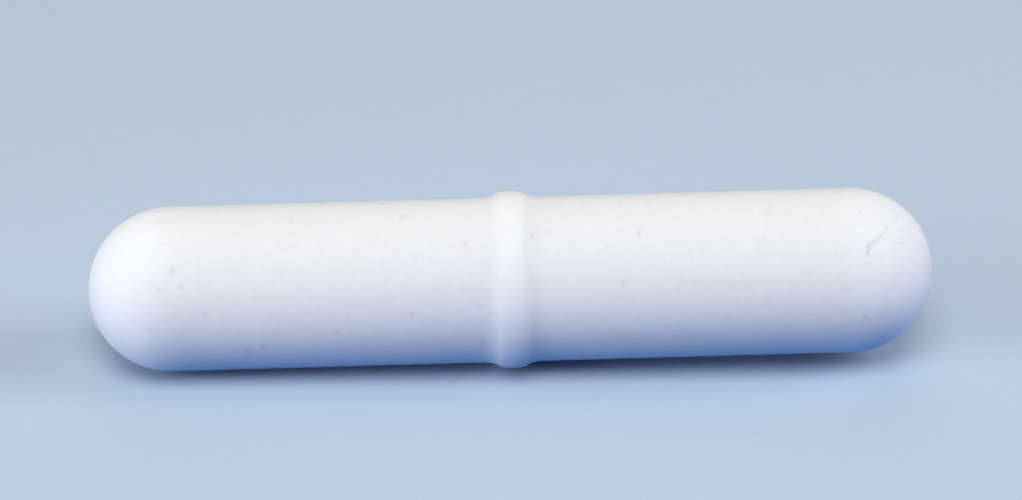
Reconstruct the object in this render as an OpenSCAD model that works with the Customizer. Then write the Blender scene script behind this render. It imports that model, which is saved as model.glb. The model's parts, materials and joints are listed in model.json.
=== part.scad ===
// Magnetic stir bar: a rod magnet sealed inside a moulded jacket with round ends.
// A low ring round the middle of the jacket is the pivot that the bar spins on.
// The bar lies along X, and its origin is at its centre, in the plane of the ring.

/* [Jacket] */
// Overall length, from tip to tip
bar_length = 41; // [30:0.5:70]
// Diameter of the barrel, and of its hemispherical ends
barrel_d = 8; // [7:0.25:10]
// Thickness of the jacket over the side of the magnet
side_wall = 1.2; // [0.8:0.1:2]
// Thickness of the jacket from each tip to the magnet's end
end_wall = 3.5; // [3:0.1:6]

/* [Pivot ring] */
// Height of the ring's crest above the barrel
ring_height = 0.3; // [0.2:0.01:0.4]
// Distance along the bar between the centres of the ring's two rounded shoulders
shoulder_spacing = 0.92; // [0.6:0.02:1.4]
// Radius of the ring's gently domed crest, along the bar
crest_radius = 3; // [2:0.1:3.5]
// Radius of the rounded shoulders
shoulder_radius = 0.3; // [0.25:0.01:0.4]
// Radius of the long hollow fillets where the ring meets the barrel
root_radius = 1.5; // [0.8:0.1:2.5]

/* [Magnet] */
// Chamfer round each end of the magnet
magnet_chamfer = 0.4; // [0.2:0.1:0.8]

/* [Hidden] */
$fn = 128;

barrel_r = barrel_d / 2;
straight_length = bar_length - barrel_d;
magnet_r = barrel_r - side_wall;
magnet_length = bar_length - 2 * end_wall;

// The ring's section is a chain of tangent arcs: root, shoulder, crest, shoulder, root.
// Points are [distance from the bar's axis, distance along the bar].
crest_centre = [barrel_r + ring_height - crest_radius, 0];
crest_to_shoulder = crest_radius - shoulder_radius;
shoulder_angle = asin(shoulder_spacing / 2 / crest_to_shoulder);
shoulder_centre = crest_centre
    + crest_to_shoulder * [cos(shoulder_angle), sin(shoulder_angle)];
root_rise = barrel_r + root_radius - shoulder_centre[0];
root_run = sqrt(pow(shoulder_radius + root_radius, 2) - pow(root_rise, 2));
root_centre = shoulder_centre + [root_rise, root_run];
// Arcs that meet at a tangent are drawn this much larger, so that they cross cleanly.
crossing = 0.0002;

// Quarter or smaller slice of a disc, between two angles from the first axis.
module pie_slice(centre, radius, from, to) {
    translate(centre)
        intersection() {
            circle(r = radius);
            polygon([
                [0, 0],
                2 * radius * [cos(from), sin(from)],
                2 * radius * [cos(to), sin(to)]
            ]);
        }
}

// The half section of the plain barrel and its two hemispherical ends.
module barrel_section() {
    translate([0, -straight_length / 2])
        square([barrel_r, straight_length]);
    for (end = [0, 1])
        mirror([0, end])
            pie_slice([0, straight_length / 2], barrel_r, 0, 90);
}

// The half section of the ring, which starts well inside the barrel.
module ring_section() {
    difference() {
        polygon([
            [barrel_r / 2, -root_centre[1]],
            [root_centre[0], -root_centre[1]],
            [shoulder_centre[0], -shoulder_centre[1]],
            shoulder_centre,
            root_centre,
            [barrel_r / 2, root_centre[1]]
        ]);
        for (side = [-1, 1])
            translate([root_centre[0], side * root_centre[1]])
                circle(r = root_radius + crossing);
    }
    for (side = [-1, 1])
        translate([shoulder_centre[0], side * shoulder_centre[1]])
            circle(r = shoulder_radius + crossing);
    pie_slice(crest_centre, crest_radius, -shoulder_angle, shoulder_angle);
}

// The magnet's half section, a rectangle with its outer corners chamfered.
module magnet_section() {
    half = magnet_length / 2;
    polygon([
        [0, -half],
        [magnet_r - magnet_chamfer, -half],
        [magnet_r, magnet_chamfer - half],
        [magnet_r, half - magnet_chamfer],
        [magnet_r - magnet_chamfer, half],
        [0, half]
    ]);
}

// Turns a half section about the bar's axis and lays it along X.
module turned() {
    rotate([0, 90, 0])
        rotate_extrude()
            children();
}

// The moulding, closed all round the magnet, which fills its cavity.
module ptfe_jacket() {
    color("whitesmoke")
        difference() {
            turned() {
                barrel_section();
                ring_section();
            }
            turned()
                magnet_section();
        }
}

module magnet_core() {
    color("dimgray")
        turned()
            magnet_section();
}

ptfe_jacket();
magnet_core();
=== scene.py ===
# %% [markdown]
# # A magnetic stir bar
# A stir bar is a rod magnet sealed inside a white plastic jacket. It lies on the floor of a
# beaker, and a turning magnet under the beaker spins it on the low ring round its middle.
# The CAD model comes first, as a fixed frame: it says how long and how thick the bar is, and
# everything below is built round it.

# %% Load the frame
import json
import math
import random

import bmesh
import bpy
from mathutils import Matrix, Vector, noise
from mathutils.kdtree import KDTree


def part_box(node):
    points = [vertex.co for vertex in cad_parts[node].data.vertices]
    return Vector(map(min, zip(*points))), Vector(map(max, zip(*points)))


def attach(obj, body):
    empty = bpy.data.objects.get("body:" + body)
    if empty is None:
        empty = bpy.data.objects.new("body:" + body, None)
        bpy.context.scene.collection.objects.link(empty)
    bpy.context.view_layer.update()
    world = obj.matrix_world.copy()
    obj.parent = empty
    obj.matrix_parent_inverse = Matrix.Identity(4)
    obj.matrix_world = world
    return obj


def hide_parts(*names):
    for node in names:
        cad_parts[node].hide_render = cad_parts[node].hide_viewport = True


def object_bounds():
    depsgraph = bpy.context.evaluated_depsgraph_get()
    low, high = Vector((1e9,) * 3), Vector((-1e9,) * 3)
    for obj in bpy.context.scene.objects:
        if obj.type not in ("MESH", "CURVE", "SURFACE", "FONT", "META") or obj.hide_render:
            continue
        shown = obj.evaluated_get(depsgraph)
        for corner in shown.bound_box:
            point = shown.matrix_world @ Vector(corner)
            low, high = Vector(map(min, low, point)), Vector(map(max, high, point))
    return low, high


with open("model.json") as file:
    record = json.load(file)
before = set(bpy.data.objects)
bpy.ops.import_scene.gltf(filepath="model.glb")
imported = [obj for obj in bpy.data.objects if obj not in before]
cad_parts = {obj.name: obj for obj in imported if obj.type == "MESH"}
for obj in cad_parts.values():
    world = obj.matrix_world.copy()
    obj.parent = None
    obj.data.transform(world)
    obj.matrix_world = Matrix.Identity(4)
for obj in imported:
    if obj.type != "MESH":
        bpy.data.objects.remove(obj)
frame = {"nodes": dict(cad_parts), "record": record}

MM = 0.001
cad_low, cad_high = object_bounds()
print("CAD nodes:", sorted(frame["nodes"]), "box in mm:", [round(v / MM, 2) for v in cad_high - cad_low])

# %% [markdown]
# ## Sizes
# A stir bar is small, so its meshes are drawn in millimetres and scaled to metres once they
# are finished. The main sizes are read from the frame: its mounts give the barrel's radius
# and the height of the ring, and its boxes give the lengths. Only the curves of the ring and
# the magnet's chamfer are written down here, because neither can tell them.

# %% Read the sizes
mounts = {mount["name"]: mount for mount in frame["record"]["mounts"]}
barrel_radius = mounts["barrel_right"]["dims"]["r_mm"]
crest_height = round(-mounts["pivot_contact"]["pos_m"][2] / MM, 3)
straight_half = round(cad_high.x / MM, 3) - barrel_radius
magnet_low, magnet_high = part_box("magnet_core")
magnet_radius = round(-magnet_low.z / MM, 3)
magnet_half = round(magnet_high.x / MM, 3)
magnet_chamfer = 0.4
crest_curve, shoulder_curve, root_curve = 3.0, 0.3, 1.5
shoulder_place = 0.46
print("barrel radius", barrel_radius, "straight half", straight_half, "crest", crest_height,
      "magnet", magnet_radius, "by", magnet_half)

# %% [markdown]
# ## The outline of the jacket
# The jacket is round, so half of its outline says everything. The outline is a chain of arcs
# that touch without a corner: the ring is moulded in one with the barrel and grows out of it.
# It could be drawn by hand with a curve, but then the arcs would never quite meet. So the
# centres are worked out first, each from the one before: two arcs that touch do so on the
# line through their centres.

# %% Work out the centres of the arcs
reach = crest_curve - shoulder_curve
lean = math.asin(shoulder_place / reach)
crest_centre = Vector((0, 0, crest_height - crest_curve))
shoulder_centre = crest_centre + reach * Vector((math.sin(lean), 0, math.cos(lean)))
rise = barrel_radius + root_curve - shoulder_centre.z
run = math.sqrt((shoulder_curve + root_curve) ** 2 - rise ** 2)
flank = math.atan2(run, rise)
root_centre = shoulder_centre + Vector((run, 0, rise))
ring_half_width = root_centre.x
print("ring half width:", round(ring_half_width, 3), "mm, steepest slope of its flank:",
      round(math.degrees(flank)), "degrees")

# %% [markdown]
# ## Drawing the outline
# One point draws the whole line, as a pencil in a compass does. It starts on the crest of the
# ring. A spin swings it round each centre in turn and leaves a row of short edges behind it,
# and an extrusion pulls it along the straight of the barrel. That straight is one long edge
# at first, and it is divided afterwards, because the relief needs points to move.

# %% Draw the outline
face_size = 0.16
fewest_steps = 4
skin = bmesh.new()


def swing(pencil, centre, turn):
    """Swings the end of the outline round a centre, and gives back its new end."""
    arc_length = (pencil.co - centre).length * abs(turn)
    arc = bmesh.ops.spin(skin, geom=[pencil], cent=centre, axis=(0, 1, 0), dvec=(0, 0, 0), angle=turn,
                         steps=max(fewest_steps, round(arc_length / face_size)))
    return arc["geom_last"][0]


pencil = skin.verts.new((0, 0, crest_height))
pencil = swing(pencil, crest_centre, lean)
pencil = swing(pencil, shoulder_centre, flank - lean)
pencil = swing(pencil, root_centre, -flank)
straight = bmesh.ops.extrude_vert_indiv(skin, verts=[pencil])
bmesh.ops.translate(skin, vec=(straight_half - ring_half_width, 0, 0), verts=straight["verts"])
swing(straight["verts"][0], Vector((straight_half, 0, 0)), math.radians(90))
rows = round(straight["edges"][0].calc_length() / face_size)
bmesh.ops.subdivide_edges(skin, edges=straight["edges"], cuts=rows - 1)
print("outline:", len(skin.verts), "points, tip at", round(max(vert.co.x for vert in skin.verts), 4), "mm")

# %% [markdown]
# ## Spinning the outline into a skin
# A Screw modifier could turn the outline, but a bmesh spin gives the real mesh at once, so
# that its points can be moved afterwards. The half is spun, mirrored, and the points that
# fall on each other at the seam and at the tips are merged. Only then are the normals made
# to point outwards.

# %% Spin the skin
same_place = 1e-4
columns = round(math.tau * barrel_radius / face_size)
bmesh.ops.spin(skin, geom=skin.verts[:] + skin.edges[:], cent=(0, 0, 0), axis=(1, 0, 0),
               dvec=(0, 0, 0), angle=math.tau, steps=columns, use_merge=True)
bmesh.ops.mirror(skin, geom=skin.verts[:] + skin.edges[:] + skin.faces[:], matrix=Matrix(),
                 merge_dist=same_place, axis="X")
bmesh.ops.remove_doubles(skin, verts=skin.verts[:], dist=same_place)
bmesh.ops.recalc_face_normals(skin, faces=skin.faces[:])
print("skin:", len(skin.verts), "points,", len(skin.faces), "faces")

# %% [markdown]
# ## Marks of use
# A bar that has been in a few beakers isn't perfect. There is a hooked scratch on its right
# end, a hairline across the right half of the barrel, and a scatter of soft grey specks,
# where dirt was baked into the powder or rubbed into a pinhole. Each mark is placed as on a
# lathe: millimetres along the bar, and degrees round it, where 0 faces the front and 90
# faces up. A speck also has a size. The specks at the back are scattered by chance, with a
# fixed seed so that they are the same each time.

# %% Place the marks
hook_scratch = [(16.93, 37), (16.97, 40), (17.03, 42.5), (17.16, 44), (17.36, 45), (17.47, 47),
                (17.64, 50), (17.82, 53), (18.0, 58)]
hairline = [(12.5, 86), (12.2, 60), (12.0, 49), (11.8, 41)]
specks = [(-19.0, -13, 0.07), (-16.8, 25, 0.09), (-16.1, 38, 0.10), (-15.7, 27, 0.07), (-14.6, 8, 0.07),
          (-12.7, -25, 0.11), (-12.0, -21, 0.10), (-10.5, 76, 0.10), (-8.4, -9, 0.08), (-5.2, 77, 0.10),
          (-4.8, 3, 0.10), (-4.6, 43, 0.07), (-2.2, 51, 0.09), (-0.9, 58, 0.07), (0.0, 15, 0.08),
          (1.0, 56, 0.09), (5.2, 21, 0.08), (5.3, 84, 0.08), (6.1, 56, 0.10), (7.3, -13, 0.07),
          (8.5, 38, 0.07), (16.8, -9, 0.11), (17.2, 7, 0.07), (18.6, 47, 0.09)]
back_specks = 26
random.seed(12)
for number in range(back_specks):
    specks.append((random.uniform(-19, 19), random.uniform(110, 320), random.uniform(0.06, 0.11)))
print("specks:", len(specks))

# %% [markdown]
# Two helpers turn such places into points on the skin. One works out a single point, on the
# barrel or on a round end, and the other fills the way between the places of a scratch.

# %% Find places on the skin
def on_skin(x, angle):
    """The point of the plain skin at a place along the bar and an angle round it."""
    past_barrel = max(0.0, abs(x) - straight_half)
    r = math.sqrt(barrel_radius ** 2 - past_barrel ** 2)
    return Vector((x, -r * math.cos(math.radians(angle)), r * math.sin(math.radians(angle))))


def along(path, spacing=0.03):
    """Points on the skin along a path, about as far apart as the spacing."""
    points = []
    for (x0, a0), (x1, a1) in zip(path, path[1:]):
        count = max(1, round((on_skin(x1, a1) - on_skin(x0, a0)).length / spacing))
        points += [on_skin(x0 + (x1 - x0) * i / count, a0 + (a1 - a0) * i / count) for i in range(count)]
    return points + [on_skin(*path[-1])]


hook_points = along(hook_scratch)
print("points along the hooked scratch:", len(hook_points))

# %% [markdown]
# Every mark becomes a row of points with a width, a depth and a stain. A search tree finds
# the mark that is nearest to any place on the skin, which is much faster than asking them
# all. The hooked scratch is deepest and widest at its foot and fades towards its end, the
# hairline is the same all along, and a larger speck is deeper and darker.

# %% Gather the marks
marks = []
for number, point in enumerate(hook_points):
    strength = 1.0 - number / len(hook_points)
    width = 0.06 + 0.05 * strength
    depth = 0.010 + 0.020 * strength
    stain = 0.08 + 0.30 * strength
    marks.append((point, width, depth, stain))
hairline_width, hairline_depth, hairline_stain = 0.05, 0.005, 0.08
for point in along(hairline):
    marks.append((point, hairline_width, hairline_depth, hairline_stain))
for x, angle, size in specks:
    marks.append((on_skin(x, angle), 1.2 * size, 0.12 * size, 2.8 * size))
mark_tree = KDTree(len(marks))
for number, mark in enumerate(marks):
    mark_tree.insert(mark[0], number)
mark_tree.balance()
print("mark points:", len(marks))

# %% [markdown]
# ## Finer mesh where the marks are
# A scratch is a tenth of a millimetre wide, narrower than one face of the skin. Only the
# faces near a mark are divided again, so that the rest of the skin stays light. The larger
# faces round them gain corners in the middle of their sides, and are cut into triangles now:
# a cut that is left for later may join three corners that lie in one line.

# %% Divide the skin near the marks
fine_reach = 0.25
fine_cuts = 3
near = {vert for vert in skin.verts if mark_tree.find(vert.co)[2] < fine_reach}
fine_edges = [edge for edge in skin.edges if near.issuperset(edge.verts)]
bmesh.ops.subdivide_edges(skin, edges=fine_edges, cuts=fine_cuts, use_grid_fill=True)
many_sided = [face for face in skin.faces if len(face.verts) > 4]
bmesh.ops.triangulate(skin, faces=many_sided, quad_method="BEAUTY", ngon_method="BEAUTY")
print("skin:", len(skin.verts), "points after", len(fine_edges), "edges were divided,",
      len(many_sided), "faces cut into triangles")

# %% [markdown]
# ## Relief of the skin
# The jacket is pressed from powder and baked, so it is never as even as turned metal. It has
# long shallow waves, a fine orange peel and small pits. They are only some thousandths of a
# millimetre deep, but they are put into the mesh itself, so that they still catch the light
# when the material is changed. The pits come first, each with a width and a depth of its own.

# %% Scatter the pits
pit_count = 160
random.seed(41)
pits = [(random.uniform(0.10, 0.22), random.uniform(0.002, 0.006)) for number in range(pit_count)]
pit_tree = KDTree(pit_count)
for number in range(pit_count):
    pit_tree.insert(on_skin(random.uniform(-20.2, 20.2), random.uniform(0, 360)), number)
pit_tree.balance()
print("pits:", pit_count)

# %% [markdown]
# The relief is a height at each place: the waves and the peel are smooth noise, a pit or a
# mark is a dent with soft sides, and the plastic that a scratch pushes aside stands up beside
# it as a low lip.

# %% Work out the relief
def dent(distance, width):
    """1 in the middle of a mark, and smoothly 0 away from it."""
    return math.exp(-(distance / width) ** 2)


def relief(place):
    """How far the skin stands out from its plain form at a place, in millimetres."""
    waves = 0.006 * noise.noise(place * 0.3)
    peel = 0.003 * noise.noise(place * 1.1)
    pit, number, distance = pit_tree.find(place)
    pit_width, pit_depth = pits[number]
    pitted = pit_depth * dent(distance, pit_width)
    mark, number, distance = mark_tree.find(place)
    mark, width, depth, stain = marks[number]
    lip = 0.25 * depth * dent(distance - 2.2 * width, width)
    return waves + peel - pitted - depth * dent(distance, width) + lip


print("relief at the foot of the hooked scratch:", round(relief(hook_points[0]), 4), "mm")

# %% [markdown]
# Each point moves along the way that it faces. The finer faces near the marks were divided
# along straight lines, so a point is first put back on the round form. The stain of a mark is
# kept on the points as an attribute, which the material reads later.

# %% Move the points of the skin
def plain_form(vert):
    """The plain round place of a point and the way it faces there."""
    if abs(vert.co.x) < ring_half_width + face_size:
        return vert.co.copy(), vert.normal.copy()
    foot = Vector((max(-straight_half, min(straight_half, vert.co.x)), 0, 0))
    outwards = (vert.co - foot).normalized()
    return foot + barrel_radius * outwards, outwards


stains = skin.verts.layers.float.new("stain")
skin.normal_update()
targets = []
for vert in skin.verts:
    place, outwards = plain_form(vert)
    mark, number, distance = mark_tree.find(place)
    mark, width, depth, stain = marks[number]
    vert[stains] = stain * dent(distance, width)
    targets.append(place + relief(place) * outwards)
for vert, target in zip(skin.verts, targets):
    vert.co = target
print("greatest stain:", round(max(vert[stains] for vert in skin.verts), 3))

# %% [markdown]
# ## The hollow for the magnet
# The plastic touches the magnet all over. The hollow is a rod with chamfered ends: a cone
# primitive with two equal radii, turned along the bar and bevelled at its rims. It joins the
# jacket as a second shell whose faces point inwards, so that the wall between the two is
# real. Its faces are turned before it joins, because a recalculation later would turn them
# back.

# %% Make the hollow
rod_segments = 96


def magnet_rod():
    """A rod of the magnet's size along the bar's axis, with a chamfer round each end."""
    rod = bmesh.new()
    bmesh.ops.create_cone(rod, cap_ends=True, segments=rod_segments, radius1=magnet_radius,
                          radius2=magnet_radius, depth=2 * magnet_half,
                          matrix=Matrix.Rotation(math.radians(90), 4, "Y"))
    rims = [edge for edge in rod.edges if abs(edge.verts[0].co.x - edge.verts[1].co.x) < magnet_half]
    bmesh.ops.bevel(rod, geom=rims, offset=magnet_chamfer, offset_type="OFFSET", affect="EDGES",
                    segments=1, profile=0.5, material=-1)
    bmesh.ops.recalc_face_normals(rod, faces=rod.faces[:])
    return rod


hollow = magnet_rod()
bmesh.ops.reverse_faces(hollow, faces=hollow.faces[:])
hollow_mesh = bpy.data.meshes.new("hollow")
hollow.to_mesh(hollow_mesh)
hollow.free()
skin.from_mesh(hollow_mesh)
bpy.data.meshes.remove(hollow_mesh)
print("jacket:", len(skin.verts), "points,", len(skin.faces), "faces")

# %% [markdown]
# ## Materials as sums
# A material is a net of nodes. Wiring each one by hand hides the idea, so a small class wraps
# a socket, and adding or multiplying it adds a Math node.

# %% A wire that can be used in sums
class Wire:
    """One output of a node, which + - and * can be used on."""

    def __init__(self, paint, socket):
        self.paint = paint
        self.socket = socket

    def sum(self, operation, first, second):
        """Adds a Math node that works on two values."""
        return self.paint.add("Math", {"operation": operation}, {0: first, 1: second})

    def __add__(self, other):
        return self.sum("ADD", self, other)

    def __sub__(self, other):
        return self.sum("SUBTRACT", self, other)

    def __rsub__(self, other):
        return self.sum("SUBTRACT", other, self)

    def __mul__(self, other):
        return self.sum("MULTIPLY", self, other)

    __radd__ = __add__
    __rmul__ = __mul__

    def step(self, start, end):
        """0 below the start and 1 above the end, with a smooth slope between."""
        return self.paint.add("MapRange", {"interpolation_type": "SMOOTHSTEP"}, {0: self, 1: start, 2: end})


# %% [markdown]
# Every other node comes from one method, which takes the node's type, its settings and the
# values or wires of its sockets. A few more methods name what both materials of the bar need:
# a place on the piece in millimetres, smooth noise of a given size, and a blend of colours.

# %% A material to wire up
class Paint:
    """One material and its nodes."""

    def __init__(self, name):
        self.material = bpy.data.materials.new(name)
        self.material.use_nodes = True
        self.tree = self.material.node_tree
        self.tree.nodes.clear()

    def add(self, kind, settings, sockets, output=0):
        """Adds a node, and gives back the wire from one of its outputs."""
        node = self.tree.nodes.new("ShaderNode" + kind)
        for name, value in settings.items():
            setattr(node, name, value)
        for name, value in sockets.items():
            if isinstance(value, Wire):
                self.tree.links.new(value.socket, node.inputs[name])
            else:
                node.inputs[name].default_value = value
        return Wire(self, node.outputs[output]) if node.outputs else None

    def millimetres(self):
        """Where a point lies on the piece, in millimetres."""
        place = self.add("TexCoord", {}, {}, "Object")
        return self.add("VectorMath", {"operation": "SCALE"}, {"Vector": place, "Scale": 1 / MM})

    def from_middle(self, place):
        """How far a place is from the middle of the bar, measured along it."""
        along_bar = self.add("SeparateXYZ", {}, {0: place}, "X")
        return along_bar.sum("ABSOLUTE", along_bar, 0)

    def noise(self, place, size, detail=2.0):
        """Soft random values from 0 to 1, with patches of about this size in millimetres."""
        return self.add("TexNoise", {}, {"Vector": place, "Scale": 1 / size, "Detail": detail})

    def blend(self, amount, first, second):
        """A colour between two colours."""
        return self.add("Mix", {"data_type": "RGBA"}, {0: amount, 6: first, 7: second}, 2)

    def finish(self, shader):
        """Joins the shader to the output, and gives back the finished material."""
        self.add("OutputMaterial", {}, {"Surface": shader})
        print("material", self.material.name, "has", len(self.tree.nodes), "nodes")
        return self.material


# %% [markdown]
# ## Sintered PTFE
# PTFE is a white plastic that feels waxy. Light goes a little way into it and comes out
# beside where it went in, which softens every shadow: that is what subsurface scattering
# does. It makes the ring and the round ends glow a little whiter than the barrel, because
# the dark magnet under the barrel's thin wall swallows some of the light. The surface is
# dull. The colour is nearly even, with faint clouds from the powder, a mottle and a fine
# grain. The ring's colour is also painted whiter: this is painted glow, which stands in for
# the light that the ring gives back more brightly than the barrel. Dirt lets no light
# through, so it is a shader of its own, mixed in by the stains that the mesh carries as an
# attribute and by a few grains of dust.

# %% Mix the PTFE
def ptfe():
    clouded_white = (0.885, 0.880, 0.885, 1)
    # The paler white is the light end of the random tone, and also the colour of the painted glow on the
    # ring.
    pale_tone_and_glow_white = (0.995, 0.985, 0.980, 1)
    dirt_grey = (0.36, 0.36, 0.37, 1)
    paint = Paint("sintered PTFE")
    place = paint.millimetres()
    clouds = paint.noise(place, 2.5)
    mottle = paint.noise(place, 0.5, 3.0)
    grain = paint.noise(place, 0.15, 2.0)
    tone = 0.3 * clouds.step(0.3, 0.7) + 0.4 * mottle.step(0.3, 0.7) + 0.3 * grain.step(0.3, 0.7)
    # Painted glow: the ring's colour is painted whiter towards the middle of the bar, for the light that it
    # gives back more brightly.
    painted_ring_glow = 1 - paint.from_middle(place).step(0.5, 0.9)
    tone = tone + 0.8 * painted_ring_glow
    white = paint.blend(tone.step(-0.6, 1.8), clouded_white, pale_tone_and_glow_white)
    roughness = 0.62 + 0.10 * mottle + 0.06 * clouds
    height = 0.6 * mottle + 0.4 * grain
    normal = paint.add("Bump", {}, {"Height": height, "Strength": 1.0, "Distance": 0.004 * MM})
    plastic = paint.add("BsdfPrincipled", {"subsurface_method": "RANDOM_WALK"}, {
        "Base Color": white, "Roughness": roughness, "Normal": normal, "IOR": 1.35,
        "Subsurface Weight": 0.85, "Subsurface Radius": (0.9, 0.95, 1.0), "Subsurface Scale": 3.0 * MM})
    dirt = paint.add("BsdfPrincipled", {}, {"Base Color": dirt_grey, "Roughness": 0.6})
    dust = paint.add("TexVoronoi", {"feature": "F1"}, {"Vector": place, "Scale": 0.7}, "Distance")
    stain = paint.add("Attribute", {"attribute_name": "stain"}, {}, "Fac")
    dirty = stain + 0.15 * (1 - dust.step(0.02, 0.10))
    return paint.finish(paint.add("MixShader", {}, {0: dirty, 1: plastic, 2: dirt}))


# %% [markdown]
# ## From mesh to piece
# A finished mesh is scaled to metres in its own points, so that its object stays at the
# origin, unturned and unscaled. Then it gets its material, it is put on the body that it
# rides on, and the CAD node that it replaces is hidden.

# %% Finish the jacket
def finish_piece(bm, name, node, material):
    """Turns a bmesh in millimetres into a piece that replaces a CAD node."""
    bmesh.ops.scale(bm, vec=(MM, MM, MM), verts=bm.verts[:])
    mesh = bpy.data.meshes.new(name)
    bm.to_mesh(mesh)
    bm.free()
    mesh.materials.append(material)
    piece = bpy.data.objects.new(name, mesh)
    bpy.context.scene.collection.objects.link(piece)
    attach(piece, "root")
    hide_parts(node)
    print(name, "has", sum(len(face.vertices) - 2 for face in mesh.polygons), "triangles")


for face in skin.faces:
    face.smooth = True
finish_piece(skin, "jacket", "ptfe_jacket", ptfe())

# %% [markdown]
# ## The magnet
# The magnet is a cast rod. Nothing of it shows, but a part that is cut open or made clear
# should still be right inside. Its ends are ground flat, its chamfers are broken by
# tumbling, and its side keeps the skin of the casting. The rod is the hollow's, with its
# edges rounded by a second small bevel. Its long side faces are divided before they can be
# dented, and the dents stop short of the chamfers.

# %% Shape the magnet
tumbled_round = 0.08
sharp = math.radians(30)
side_rows = 91
crust_depth = 0.012
end_margin = 0.2
magnet_bm = magnet_rod()
corners = [edge for edge in magnet_bm.edges if edge.calc_face_angle() > sharp]
bmesh.ops.bevel(magnet_bm, geom=corners, offset=tumbled_round, offset_type="OFFSET", affect="EDGES",
                segments=3, profile=0.5, material=-1)
long_edges = [edge for edge in magnet_bm.edges if edge.calc_length() > magnet_half]
bmesh.ops.subdivide_edges(magnet_bm, edges=long_edges, cuts=side_rows - 1, use_grid_fill=True)
crust_reach = magnet_half - magnet_chamfer - end_margin
for vert in magnet_bm.verts:
    if abs(vert.co.x) < crust_reach:
        axis_point = Vector((vert.co.x, 0, 0))
        sunk = crust_depth * (1 + noise.noise(vert.co * 1.5))
        vert.co -= sunk * (vert.co - axis_point).normalized()
for face in magnet_bm.faces:
    face.smooth = len(face.verts) < 5
print("magnet:", len(magnet_bm.verts), "points, rounded edges:", len(corners))

# %% [markdown]
# ## Cast magnet metal
# The metal is a dull grey alloy. Its side is dark and rough from the mould, and its ends are
# brighter where they were ground. The two are told apart by how far along the bar a point is.

# %% Mix the metal
def magnet_metal():
    dark_cast, light_cast = (0.30, 0.30, 0.31, 1), (0.50, 0.50, 0.51, 1)
    dark_ground, light_ground = (0.48, 0.48, 0.49, 1), (0.62, 0.62, 0.63, 1)
    paint = Paint("cast magnet alloy")
    place = paint.millimetres()
    end = paint.from_middle(place).step(magnet_half - 0.1, magnet_half - 0.02)
    crust = paint.noise(place, 0.5, 4.0)
    stretched = paint.add("VectorMath", {"operation": "MULTIPLY"}, {0: place, 1: (1.0, 1.0, 14.0)})
    grind = paint.noise(stretched, 0.9, 3.0)
    cast = paint.blend(crust, dark_cast, light_cast)
    ground = paint.blend(grind, dark_ground, light_ground)
    colour = paint.blend(end, cast, ground)
    roughness = 0.62 + 0.15 * crust - 0.35 * end
    height = (1 - end) * crust + 0.2 * end * grind
    normal = paint.add("Bump", {}, {"Height": height, "Strength": 1.0, "Distance": 0.02 * MM})
    return paint.finish(paint.add("BsdfPrincipled", {}, {
        "Base Color": colour, "Roughness": roughness, "Normal": normal, "Metallic": 0.9}))


finish_piece(magnet_bm, "magnet", "magnet_core", magnet_metal())

# %% [markdown]
# ## The floor
# The bar can't lie level: it rests on its ring and tips until one end touches. The frame
# stays as the CAD has it, so it is the floor that leans, by the angle whose sine is the
# ring's height over the length of the straight half. It is a plain matte board, so large
# that no view reaches its edge.

# %% Lay the floor
floor_radius = 4.0
floor_segments = 96
tilt = math.asin((crest_height - barrel_radius) / straight_half)
floor_turn = Matrix.Rotation(tilt, 4, "Y")
floor_bm = bmesh.new()
bmesh.ops.create_circle(floor_bm, cap_ends=True, segments=floor_segments, radius=floor_radius,
                        matrix=floor_turn @ Matrix.Translation((0, 0, -crest_height * MM)))
floor_mesh = bpy.data.meshes.new("floor")
floor_bm.to_mesh(floor_mesh)
floor_bm.free()
floor = bpy.data.objects.new("floor", floor_mesh)
bpy.context.scene.collection.objects.link(floor)
print("the bar leans by", round(math.degrees(tilt), 2), "degrees")

# %% [markdown]
# A white bar takes on the colour of what it lies on, and this one lies on blue. The board is
# a pale blue to the eye, but it throws a deeper blue back at the bar: a Light Path node tells
# the rays that come from the camera, straight or by a reflection, from all the others.

# %% Paint the floor
def board():
    dark_pale, light_pale = (0.50, 0.61, 0.74, 1), (0.53, 0.64, 0.77, 1)
    deep_blue = (0.01, 0.15, 0.50, 1)
    paint = Paint("matte board")
    place = paint.millimetres()
    tooth = paint.noise(place, 0.8, 3.0)
    pale = paint.blend(tooth, dark_pale, light_pale)
    seen = paint.add("LightPath", {}, {}, "Is Camera Ray")
    seen = seen.sum("MAXIMUM", seen, paint.add("LightPath", {}, {}, "Is Glossy Ray"))
    colour = paint.blend(seen, deep_blue, pale)
    return paint.finish(paint.add("BsdfPrincipled", {}, {"Base Color": colour, "Roughness": 0.8}))


floor_mesh.materials.append(board())

# %% [markdown]
# ## Light
# White plastic shows its roundness only if one side is darker than the other. Four soft
# lamps light it, and none of them stands below the bar, so its underside is lit only by
# what the floor throws back. One is low at the left end, one high in front and one half as
# high at the right end, and a weak one behind brightens the upper edge. Each lamp's power is
# worked out from the brightness that it should give a white card that faces it, where 1 is
# full white.

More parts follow.
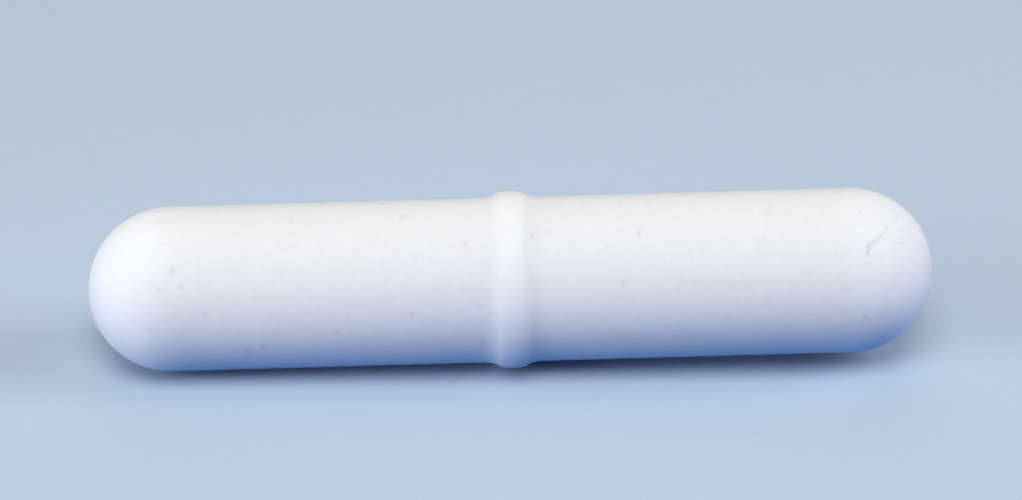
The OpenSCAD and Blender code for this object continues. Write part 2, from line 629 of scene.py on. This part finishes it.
# %% Set the lamps
def soft_lamp(name, azimuth, elevation, spread, brightness, distance=0.5):
    """A square lamp that faces the bar; azimuth 0 is to the right and -90 is in front."""
    data = bpy.data.lights.new(name, "AREA")
    data.shape = "SQUARE"
    data.size = 2 * distance * math.tan(math.radians(spread))
    data.energy = brightness * math.pi ** 2 * distance ** 2
    lamp = bpy.data.objects.new(name, data)
    turn = Matrix.Rotation(math.radians(azimuth), 4, "Z") @ Matrix.Rotation(math.radians(-elevation), 4, "Y")
    direction = turn @ Vector((1, 0, 0))
    lamp.location = distance * direction
    lamp.rotation_euler = direction.to_track_quat("Z", "Y").to_euler()
    lamp.visible_camera = False
    bpy.context.scene.collection.objects.link(lamp)
    print(name, "gives", round(data.energy, 2), "W")


soft_lamp("left_lamp", azimuth=-155, elevation=15, spread=13, brightness=0.58)
soft_lamp("high_lamp", azimuth=-93, elevation=57, spread=16, brightness=0.60)
soft_lamp("right_lamp", azimuth=-8, elevation=30, spread=16, brightness=0.48)
soft_lamp("back_lamp", azimuth=90, elevation=40, spread=20, brightness=0.20)

# %% [markdown]
# A room is never quite dark between its lamps. The world adds a little cool light from
# everywhere, so that no corner of the bar turns black.

# %% Light the room
room_brightness = 0.05
cool_white = (0.8, 0.9, 1.0, 1)
world = bpy.data.worlds.new("room")
bpy.context.scene.world = world
world.use_nodes = True
background = world.node_tree.nodes["Background"]
background.inputs["Color"].default_value = cool_white
background.inputs["Strength"].default_value = room_brightness
print("room light:", room_brightness)

# %% [markdown]
# ## Camera
# The camera looks down at the bar from 25 degrees above the floor, with a long lens close
# up, as for a small product. It stands level on the floor, not on the bar, so it leans with
# the floor. It stands a little to the left, so that the right end of the bar is the farther
# one. View transform Standard shows colours as they are written.

# %% Place the camera
camera_distance, view_width = 160.0, 49.5
camera_elevation = 25
camera_swing = -1.54
camera_data = bpy.data.cameras.new("camera")
camera_data.lens = camera_data.sensor_width * camera_distance / view_width
camera_data.clip_start = 0.01
camera = bpy.data.objects.new("camera", camera_data)
turn = (floor_turn @ Matrix.Rotation(math.radians(camera_swing), 4, "Z")
        @ Matrix.Rotation(math.radians(90 - camera_elevation), 4, "X"))
aim = Vector((0.026, 0, 1.58)) * MM
back = turn @ Vector((0, 0, camera_distance * MM))
camera.matrix_world = Matrix.Translation(aim + back) @ turn
bpy.context.scene.collection.objects.link(camera)
bpy.context.scene.camera = camera
bpy.context.scene.view_settings.view_transform = "Standard"
print("lens:", round(camera_data.lens, 1), "mm")
